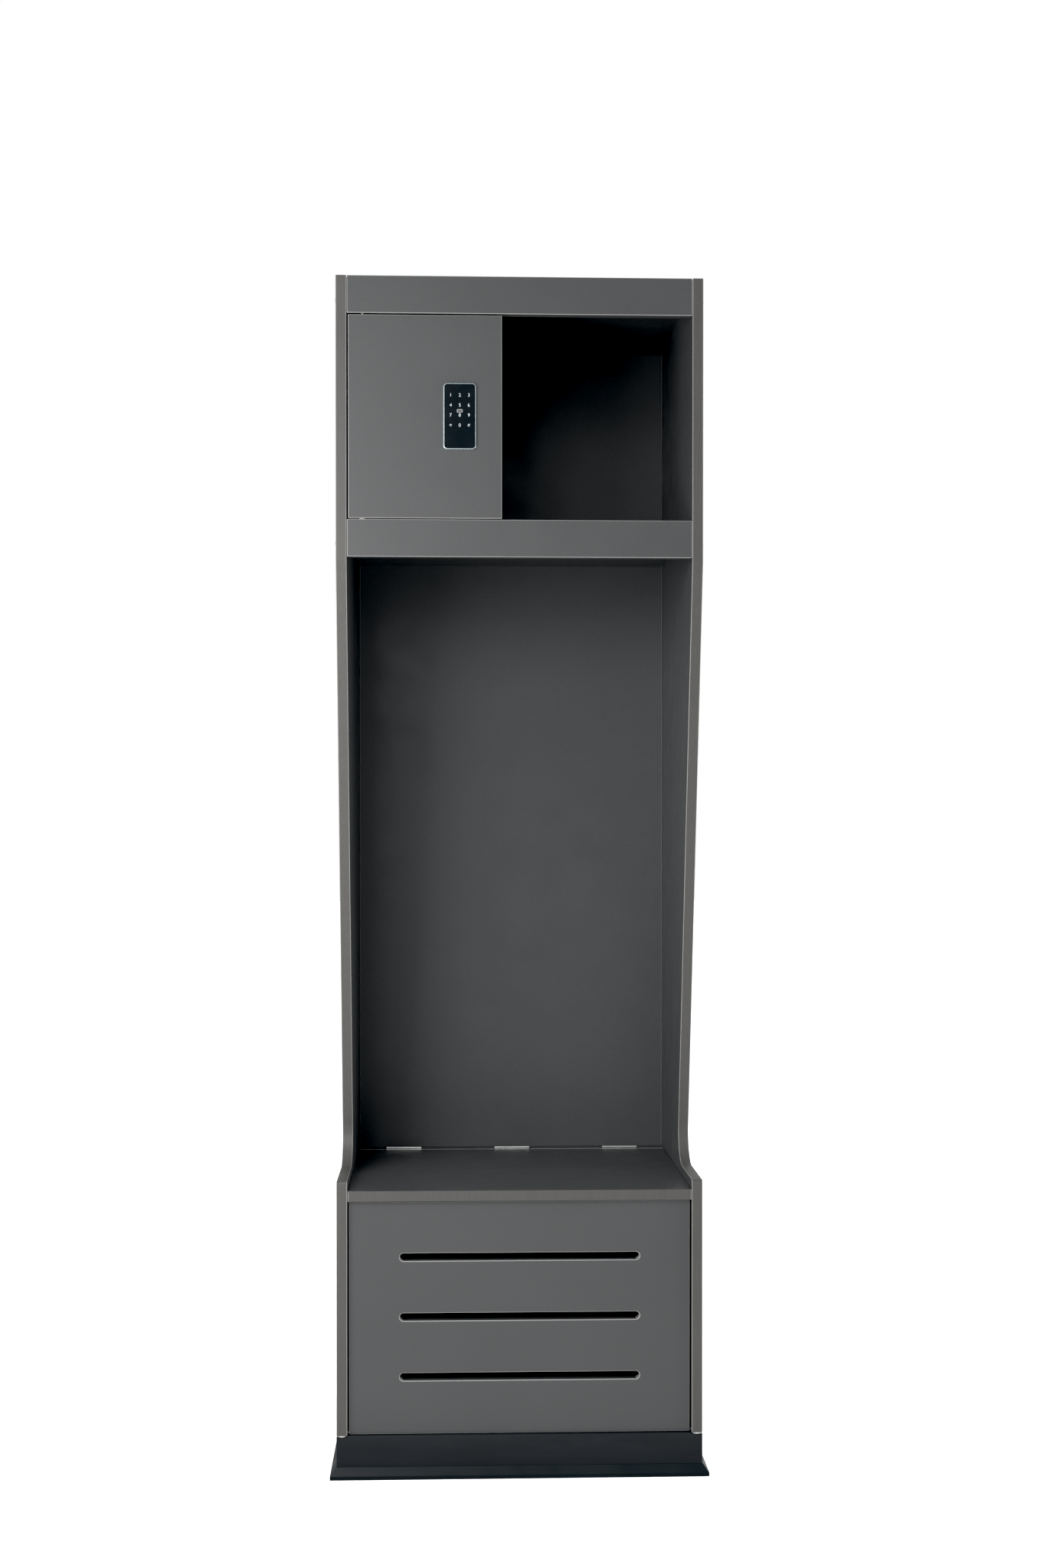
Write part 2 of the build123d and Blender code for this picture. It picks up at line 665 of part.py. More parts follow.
def bolt_block(grow, start, end):
    """The bolt's section between two X positions, larger by a clearance for its slot."""
    return block(
        (start, end),
        (BOLT_DEPTH[0] - grow, BOLT_DEPTH[1] + grow),
        (KEYPAD_Z - BOLT_HALF_HEIGHT - grow, KEYPAD_Z + BOLT_HALF_HEIGHT + grow),
    )


def cover_block(shrink, y):
    """The battery cover's outline between two depths."""
    half = COVER_SIZE[0] / 2 - shrink
    base = BATTERY_BASE - COVER_DROP + shrink
    top = base + COVER_SIZE[2] - 2 * shrink
    return block((KEYPAD_X - half, KEYPAD_X + half), y, (base, top))


def make_lock_case():
    """Rear case shell with a battery hatch and a slot for the bolt, and the hatch cover."""
    depth = CASE_SIZE[1]
    rear = BOARD + depth
    shell = case_block(0, depth)
    shell = fillet(shell.faces().sort_by(Axis.Y)[-1].edges(), CASE_ROUND)
    shell = shell - case_block(CASE_WALL, depth - CASE_WALL)
    shell = shell - cover_block(HATCH_MARGIN, (rear - CASE_WALL, rear))
    shell = shell - bolt_block(BOLT_CLEARANCE, KEYPAD_X, BOLT_X[1])
    save("lock_case", shell - holes(CASE_SCREW, case_screw_places()))
    cover = cover_block(COVER_STEP, (rear, rear + COVER_SIZE[1]))
    cover = cover + cover_block(HATCH_MARGIN + HATCH_CLEARANCE, (rear - CASE_WALL, rear))
    save("battery_cover", cover)
    save("lock_case_screws", *screws(CASE_SCREW, case_screw_places()))


def risen(span):
    """Heights given from the keypad's middle, as heights from the floor."""
    return tuple(KEYPAD_Z + rise for rise in span)


def make_lock_insides():
    """Batteries, circuit board and sealed gear motor inside the lock case."""
    rear = BOARD + CASE_SIZE[1] - CASE_WALL
    pitch = 2 * BATTERY_R + BATTERY_GAP
    first = KEYPAD_X - pitch * (BATTERY_COUNT - 1) / 2
    cells = [
        rod(BATTERY_R, (first + pitch * i, rear - BATTERY_R, BATTERY_BASE), (0, 0, 1), BATTERY_LENGTH)
        for i in range(BATTERY_COUNT)
    ]
    save("lock_batteries", *cells)
    circuit_x = (KEYPAD_X - CIRCUIT_HALF, KEYPAD_X + CIRCUIT_HALF)
    circuit_y = (BOARD, BOARD + CIRCUIT_THICKNESS)
    save("lock_circuit_board", block(circuit_x, circuit_y, risen(CIRCUIT_RISE)))
    motor_x = (KEYPAD_X - MOTOR_REACH, BOLT_X[0] - BOLT_MOTOR_GAP)
    motor = block(motor_x, (MOTOR_FRONT, rear), risen(MOTOR_RISE))
    save("lock_gear_motor", fillet(motor.edges().filter_by(Axis.X), MOTOR_ROUND))


def make_lock_bolt():
    """Sliding bolt, drawn back, and the angled keeper on the divider."""
    bolt = bolt_block(0, *BOLT_X)
    tip = bolt.faces().sort_by(Axis.X)[-1].edges()
    save("lock_bolt", chamfer(tip, BOLT_CHAMFER))
    levels = risen(across(KEEPER_HALF_HEIGHT))
    base = block((KEEPER_X[1] - KEEPER_PLATE, KEEPER_X[1]), (DIVIDER_FRONT, KEEPER_BACK), levels)
    lip = block(KEEPER_X, (DIVIDER_FRONT, DIVIDER_FRONT + KEEPER_PLATE), levels)
    save("lock_keeper", (base + lip) - holes(PLATE_SCREW, keeper_screw_places()))
    save("keeper_screws", *screws(PLATE_SCREW, keeper_screw_places()))


# ---------------------------------------------------------------- seat lid and its hinges


def make_seat_lid():
    """Seat lid with its front edge band and the pads it rests on."""
    whole = board(across(LID_HALF), (0, LID_REAR), (SEAT_BASE, SEAT_TOP))
    front = block(across(LID_HALF), (0, BAND), (SEAT_BASE, SEAT_TOP))
    save("seat_lid_edge_band", whole & front)
    save("seat_lid_panel", (whole - front) - holes(LEAF_SCREW, lid_leaf_screw_places()))
    x = INNER - CLEAT / 2
    pads = [
        rod(PAD_R, (side * x, y, CLEAT_TOP), (0, 0, 1), PAD_THICKNESS)
        for side in (-1, 1)
        for y in PAD_DEPTHS
    ]
    save("lid_pads", *pads)


def knuckle_spans(first):
    """X spans of every second knuckle, measured from the hinge's middle."""
    edges = [-sum(KNUCKLES) / 2]
    for width in KNUCKLES:
        edges.append(edges[-1] + width)
    spans = list(zip(edges, edges[1:]))[first::2]
    return [(low + KNUCKLE_GAP / 2, high - KNUCKLE_GAP / 2) for low, high in spans]


def hinge_leaf(x, y_span, first, bore):
    """A leaf on the board edge, with knuckles round the pin line at every second place."""
    half = sum(KNUCKLES) / 2
    leaf_top = HINGE_Z - BARREL_R - LEAF_DROP
    leaf = block((x - half, x + half), y_span, (LEAF_BASE, leaf_top))
    for low, high in knuckle_spans(first):
        leaf = leaf + block((x + low, x + high), y_span, (leaf_top, HINGE_Z))
        leaf = leaf + rod(BARREL_R, (x + low, HINGE_Y, HINGE_Z), (1, 0, 0), high - low)
    return leaf - rod(bore, (x - half, HINGE_Y, HINGE_Z), (1, 0, 0), 2 * half)


def make_lid_hinges():
    """Three butt hinges let into the gap behind the lid."""
    lid_y = (LID_REAR, LID_REAR + LEAF)
    rail_y = (REAR_RAIL_FRONT - LEAF, REAR_RAIL_FRONT)
    lid_holes = holes(LEAF_SCREW, lid_leaf_screw_places())
    rail_holes = holes(LEAF_SCREW, rail_leaf_screw_places())
    lid_leaves = [hinge_leaf(x, lid_y, 0, HINGE_PIN_R + HINGE_RUNNING) for x in HINGE_X]
    rail_leaves = [hinge_leaf(x, rail_y, 1, HINGE_PIN_R + HINGE_FIXED) for x in HINGE_X]
    save("hinge_leaves_lid", *[leaf - lid_holes for leaf in lid_leaves])
    save("hinge_leaves_rail", *[leaf - rail_holes for leaf in rail_leaves])
    length = sum(KNUCKLES)
    starts = [(x - length / 2, HINGE_Y, HINGE_Z) for x in HINGE_X]
    save("hinge_pins", *[rod(HINGE_PIN_R, start, (1, 0, 0), length) for start in starts])
    save("lid_leaf_screws", *screws(LEAF_SCREW, lid_leaf_screw_places()))
    save("rail_leaf_screws", *screws(LEAF_SCREW, rail_leaf_screw_places()))


def main():
    os.makedirs("parts", exist_ok=True)
    make_side("left", -1)
    make_side("right", 1)
    make_carcass_boards()
    make_vent_panel()
    make_supports()
    make_carcass_fasteners()
    make_plinth()
    make_toe_skirting()
    make_base_brackets()
    make_door_pivots()
    make_door()
    make_keypad()
    make_lock_case()
    make_lock_insides()
    make_lock_bolt()
    make_seat_lid()
    make_lid_hinges()


main()
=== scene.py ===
import json
import math

import bmesh
import bpy
from mathutils import Matrix, Vector


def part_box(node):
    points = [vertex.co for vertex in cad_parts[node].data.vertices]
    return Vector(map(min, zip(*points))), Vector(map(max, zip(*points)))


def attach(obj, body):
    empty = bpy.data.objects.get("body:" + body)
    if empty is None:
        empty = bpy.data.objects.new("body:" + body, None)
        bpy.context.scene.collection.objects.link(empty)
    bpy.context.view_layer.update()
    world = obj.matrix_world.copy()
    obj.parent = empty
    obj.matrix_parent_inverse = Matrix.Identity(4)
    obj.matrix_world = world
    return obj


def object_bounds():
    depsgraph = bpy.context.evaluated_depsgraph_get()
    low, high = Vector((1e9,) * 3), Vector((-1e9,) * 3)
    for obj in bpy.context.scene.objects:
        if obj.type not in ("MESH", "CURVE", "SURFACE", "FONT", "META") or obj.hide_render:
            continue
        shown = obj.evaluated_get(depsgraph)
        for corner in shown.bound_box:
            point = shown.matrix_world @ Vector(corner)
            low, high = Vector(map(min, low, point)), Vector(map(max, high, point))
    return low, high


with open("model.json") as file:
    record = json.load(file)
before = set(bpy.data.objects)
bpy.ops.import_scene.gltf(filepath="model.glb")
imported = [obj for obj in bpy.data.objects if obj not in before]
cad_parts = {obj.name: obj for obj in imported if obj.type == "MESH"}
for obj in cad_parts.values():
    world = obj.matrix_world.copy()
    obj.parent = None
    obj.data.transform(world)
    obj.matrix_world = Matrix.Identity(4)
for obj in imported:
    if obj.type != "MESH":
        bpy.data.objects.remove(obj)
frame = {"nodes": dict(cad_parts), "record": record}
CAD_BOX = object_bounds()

# The looks of the open-front gear locker. The CAD nodes keep their shapes and get procedural
# materials; the key legends and the battery cover's grip ribs are added here.

# Camera, measured from the locker's middle, its front edges and the floor, in metres and degrees.
CAMERA_SIDE = -0.1153
CAMERA_BACK = 3.3263
CAMERA_HEIGHT = 1.0647
CAMERA_YAW = -2.085
CAMERA_PITCH = -0.6
CAMERA_LENS = 46.0
CAMERA_RISE = 0.04766
SENSOR_WIDTH = 36.0
VIEW_REACH = 200.0

LOW, HIGH = CAD_BOX
MIDDLE = (LOW + HIGH) / 2
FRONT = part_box("header_rail")[0].y

# Linear base colours. A pair holds the darkest and the palest tone of a material.
LAMINATE = (0.092, 0.093, 0.094)
EDGE_BAND = (0.106, 0.103, 0.097)
# Painted highlight: the pale colour given to the rounded edges of boards and bands.
EDGE_HIGHLIGHT = (0.36, 0.36, 0.35)
PLINTH = (0.0095, 0.0115, 0.0140)
SKIRTING = (0.0012, 0.0050, 0.0066)
GLIDE = (0.72, 0.72, 0.69)
STEEL = (0.60, 0.60, 0.58)
HINGE_STEEL = (0.86, 0.87, 0.85)
KEYPAD_RIM = (0.60, 0.68, 0.71)
BADGE = (0.62, 0.63, 0.64)
BADGE_MIDDLE = (0.10, 0.105, 0.11)
LOCK_PLASTIC = (0.016, 0.016, 0.018)
BATTERY = (0.45, 0.40, 0.28)
RUBBER = (0.03, 0.03, 0.03)
CAP = (0.10, 0.102, 0.104)
GLASS = ((0.0038, 0.0072, 0.0100), (0.0050, 0.0088, 0.0120))
CIRCUIT = ((0.01, 0.10, 0.045), (0.05, 0.20, 0.08))
LEGEND = ((0.60, 0.66, 0.70), (0.72, 0.77, 0.80))
FLOOR = ((0.86, 0.86, 0.86), (0.89, 0.89, 0.89))

FINE_BUMP = 0.0002  # depth of the pebbling on boards and plastics, in metres
BRUSH_BUMP = 0.0001  # depth of the brush lines on metal, in metres


# ------------------------------------------------------------------ materials


class Shader:
    """A material under construction: one Principled shader and the nodes that feed it."""

    def __init__(self, name, **constants):
        self.material = bpy.data.materials.new(name)
        self.material.use_nodes = True
        self.tree = self.material.node_tree
        self.principled = self.tree.nodes["Principled BSDF"]
        for socket, value in constants.items():
            self.principled.inputs[socket.replace("_", " ")].default_value = value
        self.place = self.tree.nodes.new("ShaderNodeTexCoord").outputs["Object"]

    def node(self, kind, settings=(), inputs=()):
        made = self.tree.nodes.new("ShaderNode" + kind)
        for name, value in dict(settings).items():
            setattr(made, name, value)
        for name, value in dict(inputs).items():
            if isinstance(value, bpy.types.NodeSocket):
                self.tree.links.new(value, made.inputs[name])
            else:
                made.inputs[name].default_value = value
        return made

    def feed(self, socket, output):
        self.tree.links.new(output, self.principled.inputs[socket])

    def stretched(self, scale):
        """Object coordinates scaled per axis, for grain that runs one way."""
        return self.node("Mapping", inputs={"Vector": self.place, "Scale": scale}).outputs[0]

    def noise(self, scale, detail=2.0, rough=0.5, vector=None):
        return self.node(
            "TexNoise",
            inputs={
                "Vector": vector or self.place,
                "Scale": scale,
                "Detail": detail,
                "Roughness": rough,
            },
        ).outputs["Fac"]

    def spread(self, value, low=0.0, high=1.0, start=0.3, end=0.7):
        """Maps a noise value between start and end onto the range from low to high."""
        return self.node(
            "MapRange",
            inputs={
                "Value": value,
                "From Min": start,
                "From Max": end,
                "To Min": low,
                "To Max": high,
            },
        ).outputs["Result"]

    def blend(self, factor, first, second):
        """A colour between two others."""
        mix = self.node("Mix", settings={"data_type": "RGBA"})
        self.tree.links.new(factor, mix.inputs["Factor"])
        for socket, value in ((mix.inputs[6], first), (mix.inputs[7], second)):
            if isinstance(value, bpy.types.NodeSocket):
                self.tree.links.new(value, socket)
            else:
                socket.default_value = (*value, 1.0)
        return mix.outputs[2]

    def shaded(self, factor, colour, darkest, palest):
        """A colour between a darker and a paler tone of itself."""
        tones = [tuple(channel * tone for channel in colour) for tone in (darkest, palest)]
        return self.blend(factor, *tones)

    def bump(self, height, strength, distance=FINE_BUMP):
        bump = self.node(
            "Bump", inputs={"Height": height, "Strength": strength, "Distance": distance}
        )
        self.feed("Normal", bump.outputs["Normal"])


def laminate(name, colour, speckle_share=0.45):
    """Melamine board: near-plain colour, faint clouding, a fine pebbled speckle and satin gloss."""
    s = Shader(name, Specular_IOR_Level=0.5)
    clouds = s.spread(s.noise(scale=5.0, detail=4.0))
    speckle = s.spread(s.noise(scale=600.0, detail=3.0, rough=0.7), start=0.35, end=0.65)
    clouded = s.shaded(clouds, colour, darkest=0.95, palest=1.05)
    speckled = s.shaded(speckle, colour, darkest=0.82, palest=1.20)
    share = s.node("Value").outputs[0]
    share.default_value = speckle_share
    s.feed("Base Color", s.blend(share, clouded, speckled))
    s.feed("Roughness", s.spread(s.noise(scale=18.0, detail=3.0), low=0.30, high=0.40))
    s.bump(s.noise(scale=1400.0, rough=0.6), strength=0.06)
    return s.material


def edge_band(name, colour):
    """Plastic edging with faint streaks along its run."""
    s = Shader(name, Specular_IOR_Level=0.5)
    lengthwise = s.stretched((14.0, 14.0, 0.5))
    streaks = s.spread(s.noise(scale=30.0, detail=3.0, vector=lengthwise))
    s.feed("Base Color", s.shaded(streaks, colour, darkest=0.94, palest=1.07))
    s.feed("Roughness", s.spread(s.noise(scale=60.0), low=0.34, high=0.46))
    s.bump(s.noise(scale=900.0), strength=0.05)
    return s.material


def dark_board(name, colour, grain):
    """Black plinth surface with faint rubbed patches and dust."""
    s = Shader(name, Specular_IOR_Level=0.5)
    patches = s.noise(scale=4.0, detail=6.0, rough=0.65, vector=s.stretched(grain))
    scuff = s.spread(patches, start=0.4, end=0.75)
    s.feed("Base Color", s.shaded(scuff, colour, darkest=1.0, palest=1.7))
    s.feed("Roughness", s.spread(s.noise(scale=25.0, detail=4.0), low=0.34, high=0.52))
    s.bump(s.noise(scale=700.0, detail=3.0), strength=0.08)
    return s.material


def metal(name, colour, rough, grain):
    """Metal with brush lines along one axis."""
    s = Shader(name, Metallic=1.0)
    lines = s.noise(scale=120.0, detail=4.0, rough=0.7, vector=s.stretched(grain))
    s.feed("Base Color", s.shaded(s.spread(lines), colour, darkest=0.82, palest=1.0))
    s.feed("Roughness", s.spread(lines, *rough))
    s.bump(lines, strength=0.05, distance=BRUSH_BUMP)
    return s.material


def moulded(name, colour, rough):
    """Moulded plastic or rubber with a fine spark-eroded texture."""
    s = Shader(name, Specular_IOR_Level=0.5)
    tone = s.spread(s.noise(scale=40.0, detail=3.0))
    s.feed("Base Color", s.shaded(tone, colour, darkest=0.9, palest=1.1))
    s.feed("Roughness", s.spread(s.noise(scale=90.0), low=rough - 0.05, high=rough + 0.06))
    s.bump(s.noise(scale=1100.0, detail=3.0), strength=0.12)
    return s.material


def dark_glass(name, tones):
    """Polished touch panel with a trace of finger smears in its gloss."""
    s = Shader(name, Specular_IOR_Level=0.38)
    s.feed("Base Color", s.blend(s.spread(s.noise(scale=25.0)), *tones))
    smears = s.noise(scale=45.0, detail=4.0, rough=0.6)
    s.feed("Roughness", s.spread(smears, low=0.10, high=0.20))
    return s.material


def circuit_board(name, tones):
    """Green circuit laminate with copper traces."""
    s = Shader(name, Specular_IOR_Level=0.5)
    bricks = s.node("TexBrick", inputs={"Vector": s.stretched((1.0, 1.0, 1.0)), "Scale": 160.0})
    traces = s.spread(bricks.outputs["Fac"], start=0.2, end=0.8)
    s.feed("Base Color", s.blend(traces, *tones))
    s.feed("Roughness", s.spread(s.noise(scale=60.0), low=0.35, high=0.5))
    return s.material


def legend_print_and_glow(name, tones):
    """Pale printed legends with a faint painted glow that keeps them bright in shade."""
    # The emission is a painted glow; the legends light nothing around them.
    s = Shader(name, Emission_Strength=0.15)
    colour = s.blend(s.spread(s.noise(scale=500.0)), *tones)
    s.feed("Base Color", colour)
    s.feed("Emission Color", colour)
    s.feed("Roughness", s.spread(s.noise(scale=300.0), low=0.4, high=0.55))
    return s.material


def pale_floor(name, tones):
    """Near-white studio floor, almost without gloss."""
    s = Shader(name, Specular_IOR_Level=0.2)
    s.feed("Base Color", s.blend(s.spread(s.noise(scale=1.5, detail=3.0)), *tones))
    s.feed("Roughness", s.spread(s.noise(scale=8.0), low=0.7, high=0.8))
    return s.material


def make_materials():
    """One material for each of the record's material slots."""
    return {
        "laminate": laminate("laminate", LAMINATE),
        "edge_band": edge_band("edge_band", EDGE_BAND),
        "plinth": dark_board("plinth", PLINTH, grain=(1.0, 1.0, 6.0)),
        "skirting": dark_board("skirting", SKIRTING, grain=(0.6, 0.6, 8.0)),
        "glide": moulded("glide", GLIDE, rough=0.4),
        "steel": metal("steel", STEEL, rough=(0.25, 0.42), grain=(1.0, 1.0, 12.0)),
        "hinge_steel": metal("hinge_steel", HINGE_STEEL, (0.32, 0.45), grain=(0.4, 9.0, 9.0)),
        "keypad_rim": metal("keypad_rim", KEYPAD_RIM, (0.20, 0.30), grain=(6.0, 1.0, 1.0)),
        "keypad_glass": dark_glass("keypad_glass", GLASS),
        "badge": metal("badge", BADGE, rough=(0.25, 0.4), grain=(8.0, 1.0, 1.0)),
        "lock_plastic": moulded("lock_plastic", LOCK_PLASTIC, rough=0.45),
        "battery": metal("battery", BATTERY, rough=(0.25, 0.4), grain=(9.0, 9.0, 0.5)),
        "circuit": circuit_board("circuit", CIRCUIT),
        "rubber": moulded("rubber", RUBBER, rough=0.7),
        "cap": moulded("cap", CAP, rough=0.42),
    }


# ------------------------------------------------------------------ CAD nodes


# Shares of a normal that mark a face of an edge rounding: its sideways share on a band, and its
# largest share on a board.
BAND_SIDEWAYS = (0.12, 0.97)
BOARD_STRAIGHT = 0.985

# Faces of the badge's sunk middle look forward and lie behind its border by more than the step.
FORWARD = -0.9
BADGE_STEP = 0.0001


def is_rounding(normal, banded):
    """True for a face of an edge rounding. On a band, bends along its run don't count."""
    if banded:
        return BAND_SIDEWAYS[0] < abs(normal.x) < BAND_SIDEWAYS[1]
    return max(abs(component) for component in normal) < BOARD_STRAIGHT


def dress_node(node, material, edge_material, banded):
    """Gives a CAD node its material, and a pale painted highlight on its rounded edges."""
    mesh = node.data
    mesh.materials.clear()
    mesh.materials.append(material)
    if edge_material is None:
        return
    mesh.materials.append(edge_material)
    for polygon in mesh.polygons:
        polygon.material_index = 1 if is_rounding(polygon.normal, banded) else 0


def darken_badge(node):
    """Gives the badge's sunk middle a dark finish, so that only its border shines."""
    node.data.materials.append(moulded("badge_middle", BADGE_MIDDLE, rough=0.4))
    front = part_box("keypad_badge")[0].y
    for polygon in node.data.polygons:
        if polygon.normal.y < FORWARD and polygon.center.y > front + BADGE_STEP:
            polygon.material_index = len(node.data.materials) - 1


def dress_cad(materials):
    # Painted highlight: a pale edging material on the rounded edges stands in for their bright edge
    # lines.
    painted_edge_highlight = edge_band("painted_edge_highlight", EDGE_HIGHLIGHT)
    for subpart in frame["record"]["subparts"]:
        slot = subpart["material_slot"]
        lined = painted_edge_highlight if slot in ("laminate", "edge_band") else None
        banded = slot == "edge_band" or subpart["node"].startswith("side_panel")
        dress_node(frame["nodes"][subpart["node"]], materials[slot], lined, banded)
    darken_badge(frame["nodes"]["keypad_badge"])


# ------------------------------------------------------------------ added pieces


def link_mesh(name, mesh, material, body):
    """Puts a new piece in the scene, on its body and with its slot."""
    piece = bpy.data.objects.new(name, mesh)
    bpy.context.scene.collection.objects.link(piece)
    mesh.materials.clear()
    mesh.materials.append(material)
    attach(piece, body)


LEGEND_ROWS = ("123", "456", "789", "*0#")
LEGEND_PITCH = (0.0150, 0.0166)
LEGEND_TOP = 0.0350
LEGEND_SIZE = 0.0078
LEGEND_THICKNESS = 0.00012
GLYPH_SCALE = {"*": 1.2, "#": 0.85}
GLYPH_RESOLUTION = 4


def glyph_mesh(character):
    """A flat, slightly raised mesh of one character, centred on its own middle."""
    curve = bpy.data.curves.new("glyph", "FONT")
    curve.body = character
    curve.size = LEGEND_SIZE * GLYPH_SCALE.get(character, 1.0)
    curve.extrude = LEGEND_THICKNESS / 2
    curve.resolution_u = GLYPH_RESOLUTION
    holder = bpy.data.objects.new("glyph", curve)
    bpy.context.scene.collection.objects.link(holder)
    bpy.context.view_layer.update()
    mesh = bpy.data.meshes.new_from_object(holder)
    bpy.data.objects.remove(holder)
    corners = [vertex.co for vertex in mesh.vertices]
    low = Vector(min(corner[axis] for corner in corners) for axis in range(3))
    high = Vector(max(corner[axis] for corner in corners) for axis in range(3))
    mesh.transform(Matrix.Translation(-(low + high) / 2))
    return mesh


def make_legends():
    """Key numbers on the glass, in three columns and four rows."""
    low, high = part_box("keypad_glass")
    centre = (low + high) / 2
    face = low.y - LEGEND_THICKNESS / 2
    upright = Matrix.Rotation(math.radians(90), 4, "X")
    joined = bmesh.new()
    for row, characters in enumerate(LEGEND_ROWS):
        for column, character in enumerate(characters):
            x = centre.x + (column - 1) * LEGEND_PITCH[0]
            z = centre.z + LEGEND_TOP - row * LEGEND_PITCH[1]
            glyph = glyph_mesh(character)
            glyph.transform(Matrix.Translation((x, face, z)) @ upright)
            joined.from_mesh(glyph)
    mesh = bpy.data.meshes.new("key_legends")
    joined.to_mesh(mesh)
    joined.free()
    link_mesh("key_legends", mesh, legend_print_and_glow("legend_print_and_glow", LEGEND), "cabinet_door")


RIB_COUNT = 6
RIB_PITCH = 0.0026
RIB_LENGTH = 0.022
RIB_RADIUS = 0.0006
RIB_DROP = 0.012  # top rib below the cover's top edge
RIB_SIDES = {"u_segments": 16, "v_segments": 12}


def make_grip_ribs():
    """Rounded ribs that a thumb pushes on to slide the battery cover off."""
    low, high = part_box("battery_cover")
    middle = (low.x + high.x) / 2
    joined = bmesh.new()
    for row in range(RIB_COUNT):
        rib = bmesh.ops.create_uvsphere(joined, radius=RIB_RADIUS, **RIB_SIDES)
        for vertex in rib["verts"]:
            vertex.co = Matrix.Rotation(math.radians(90), 3, "Y") @ vertex.co
            vertex.co.x += math.copysign(RIB_LENGTH / 2 - RIB_RADIUS, vertex.co.x)
            vertex.co += Vector((middle, high.y, high.z - RIB_DROP - row * RIB_PITCH))
    for face in joined.faces:
        face.smooth = True
    mesh = bpy.data.meshes.new("cover_grip_ribs")
    joined.to_mesh(mesh)
    joined.free()
    plastic = moulded("rib_plastic", LOCK_PLASTIC, rough=0.42)
    link_mesh("cover_grip_ribs", mesh, plastic, "cabinet_door")


# ------------------------------------------------------------------ stage, light and camera


FLOOR_REACH = 30.0
OVERHEAD_STRENGTH = 4.4
OVERHEAD_ANGLE = 60  # degrees: a wide sun, for a soft shadow

SURROUND_SEEN = 1.0
SURROUND_LIGHT = 0.41

# Softboxes: azimuth from the viewer's side in degrees, negative to the left, then distance, height,
# size in metres and power in watts.
SOFTBOXES = {
    "key": (-40, 1.7, 1.3, (1.0, 1.2), 20.6),
    "front_box": (-20, 3.8, 1.9, (1.8, 2.0), 25.0),
    "right_strip": (80, 3.8, 0.6, (1.8, 2.0), 70.0),
    "rear_box": (150, 4.0, 1.2, (1.8, 2.0), 40.0),
}

# A white card on the floor in front of the locker.
CARD_DISTANCE = 1.6
CARD_HEIGHT = 0.01
CARD_SIZE = (3.0, 3.0)
CARD_POWER = 12.5

# Light taken off each colour channel of the picture, so that its blacks are deep.
VEIL = (0.0150, 0.0139, 0.0130)


def make_floor():
    """A wide pale floor that the locker neither mirrors nor takes light from."""
    reach = FLOOR_REACH
    mesh = bpy.data.meshes.new("floor")
    corners = [(-reach, -reach, 0), (reach, -reach, 0), (reach, reach, 0), (-reach, reach, 0)]
    mesh.from_pydata(corners, [], [(0, 1, 2, 3)])
    mesh.materials.append(pale_floor("floor", FLOOR))
    floor = bpy.data.objects.new("floor", mesh)
    bpy.context.scene.collection.objects.link(floor)
    floor.visible_diffuse = False
    floor.visible_glossy = False
    light_floor(floor)


def light_floor(floor):
    """An overhead light for the floor alone, so that it stays pale and takes a soft shadow."""
    light = bpy.data.lights.new("overhead", "SUN")
    light.energy = OVERHEAD_STRENGTH
    light.angle = math.radians(OVERHEAD_ANGLE)
    lamp = bpy.data.objects.new("overhead", light)
    bpy.context.scene.collection.objects.link(lamp)
    lit = bpy.data.collections.new("floor_only")
    lit.objects.link(floor)
    lamp.light_linking.receiver_collection = lit


def softbox(name, place, size, power):
    """A soft rectangular light aimed at the locker's middle."""
    light = bpy.data.lights.new(name, "AREA")
    light.shape = "RECTANGLE"
    light.size, light.size_y = size
    light.energy = power
    lamp = bpy.data.objects.new(name, light)
    lamp.location = place
    lamp.rotation_euler = (Vector(place) - MIDDLE).to_track_quat("Z", "Y").to_euler()
    bpy.context.scene.collection.objects.link(lamp)
    return lamp


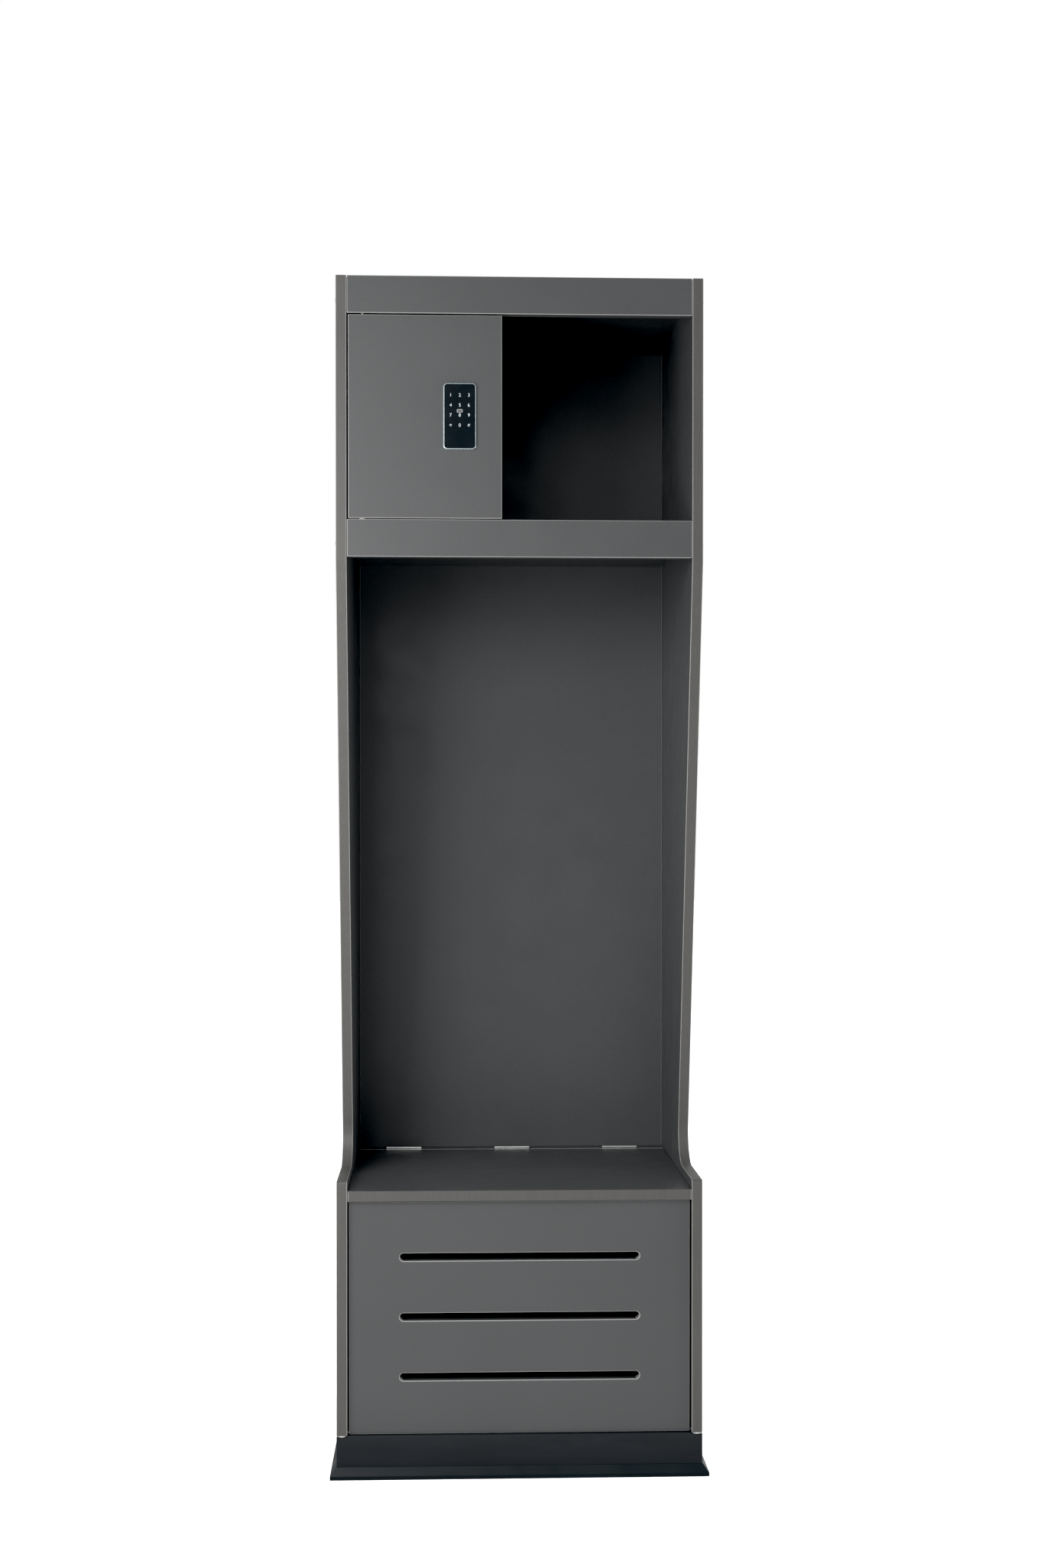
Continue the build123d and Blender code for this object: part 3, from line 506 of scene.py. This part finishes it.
def make_world():
    """A plain pale surround, brighter to the eye than the light it gives."""
    world = bpy.data.worlds.new("studio")
    bpy.context.scene.world = world
    world.use_nodes = True
    nodes, links = world.node_tree.nodes, world.node_tree.links
    background = nodes["Background"]
    path = nodes.new("ShaderNodeLightPath")
    strength = nodes.new("ShaderNodeMapRange")
    strength.inputs["To Min"].default_value = SURROUND_LIGHT
    strength.inputs["To Max"].default_value = SURROUND_SEEN
    links.new(path.outputs["Is Camera Ray"], strength.inputs["Value"])
    links.new(strength.outputs["Result"], background.inputs["Strength"])
    background.inputs["Color"].default_value = (1.0, 1.0, 1.0, 1.0)


def place_around(azimuth, distance, height):
    """A place at an azimuth from the viewer's side of the locker; negative is to the left."""
    angle = math.radians(azimuth)
    return (distance * math.sin(angle), -distance * math.cos(angle), height)


def make_lights():
    """The surround, the softboxes and a card on the floor that lights upwards, out of sight."""
    make_world()
    for name, (azimuth, distance, height, size, power) in SOFTBOXES.items():
        softbox(name, place_around(azimuth, distance, height), size, power)
    card = softbox("front_card", (0, FRONT - CARD_DISTANCE, CARD_HEIGHT), CARD_SIZE, CARD_POWER)
    card.rotation_euler = (math.pi, 0, 0)
    card.visible_camera = False


def deepen_shadows(scene):
    """Takes a thin veil of light off the picture, so that its blacks are as deep as a studio's."""
    scene.view_settings.view_transform = "Standard"
    scene.view_settings.use_curve_mapping = True
    scene.view_settings.curve_mapping.black_level = VEIL
    scene.view_settings.curve_mapping.update()


def make_camera():
    """The camera in front of the locker, near its middle height and slightly to the left."""
    camera = bpy.data.cameras.new("camera")
    camera.lens = CAMERA_LENS
    camera.sensor_width = SENSOR_WIDTH
    camera.shift_y = CAMERA_RISE
    camera.clip_end = VIEW_REACH
    holder = bpy.data.objects.new("camera", camera)
    holder.location = (CAMERA_SIDE, FRONT - CAMERA_BACK, CAMERA_HEIGHT)
    holder.rotation_euler = (math.radians(90 + CAMERA_PITCH), 0, math.radians(CAMERA_YAW))
    bpy.context.scene.collection.objects.link(holder)
    bpy.context.scene.camera = holder


def main():
    deepen_shadows(bpy.context.scene)
    make_camera()
    make_floor()
    make_lights()
    dress_cad(make_materials())
    make_legends()
    make_grip_ribs()


main()
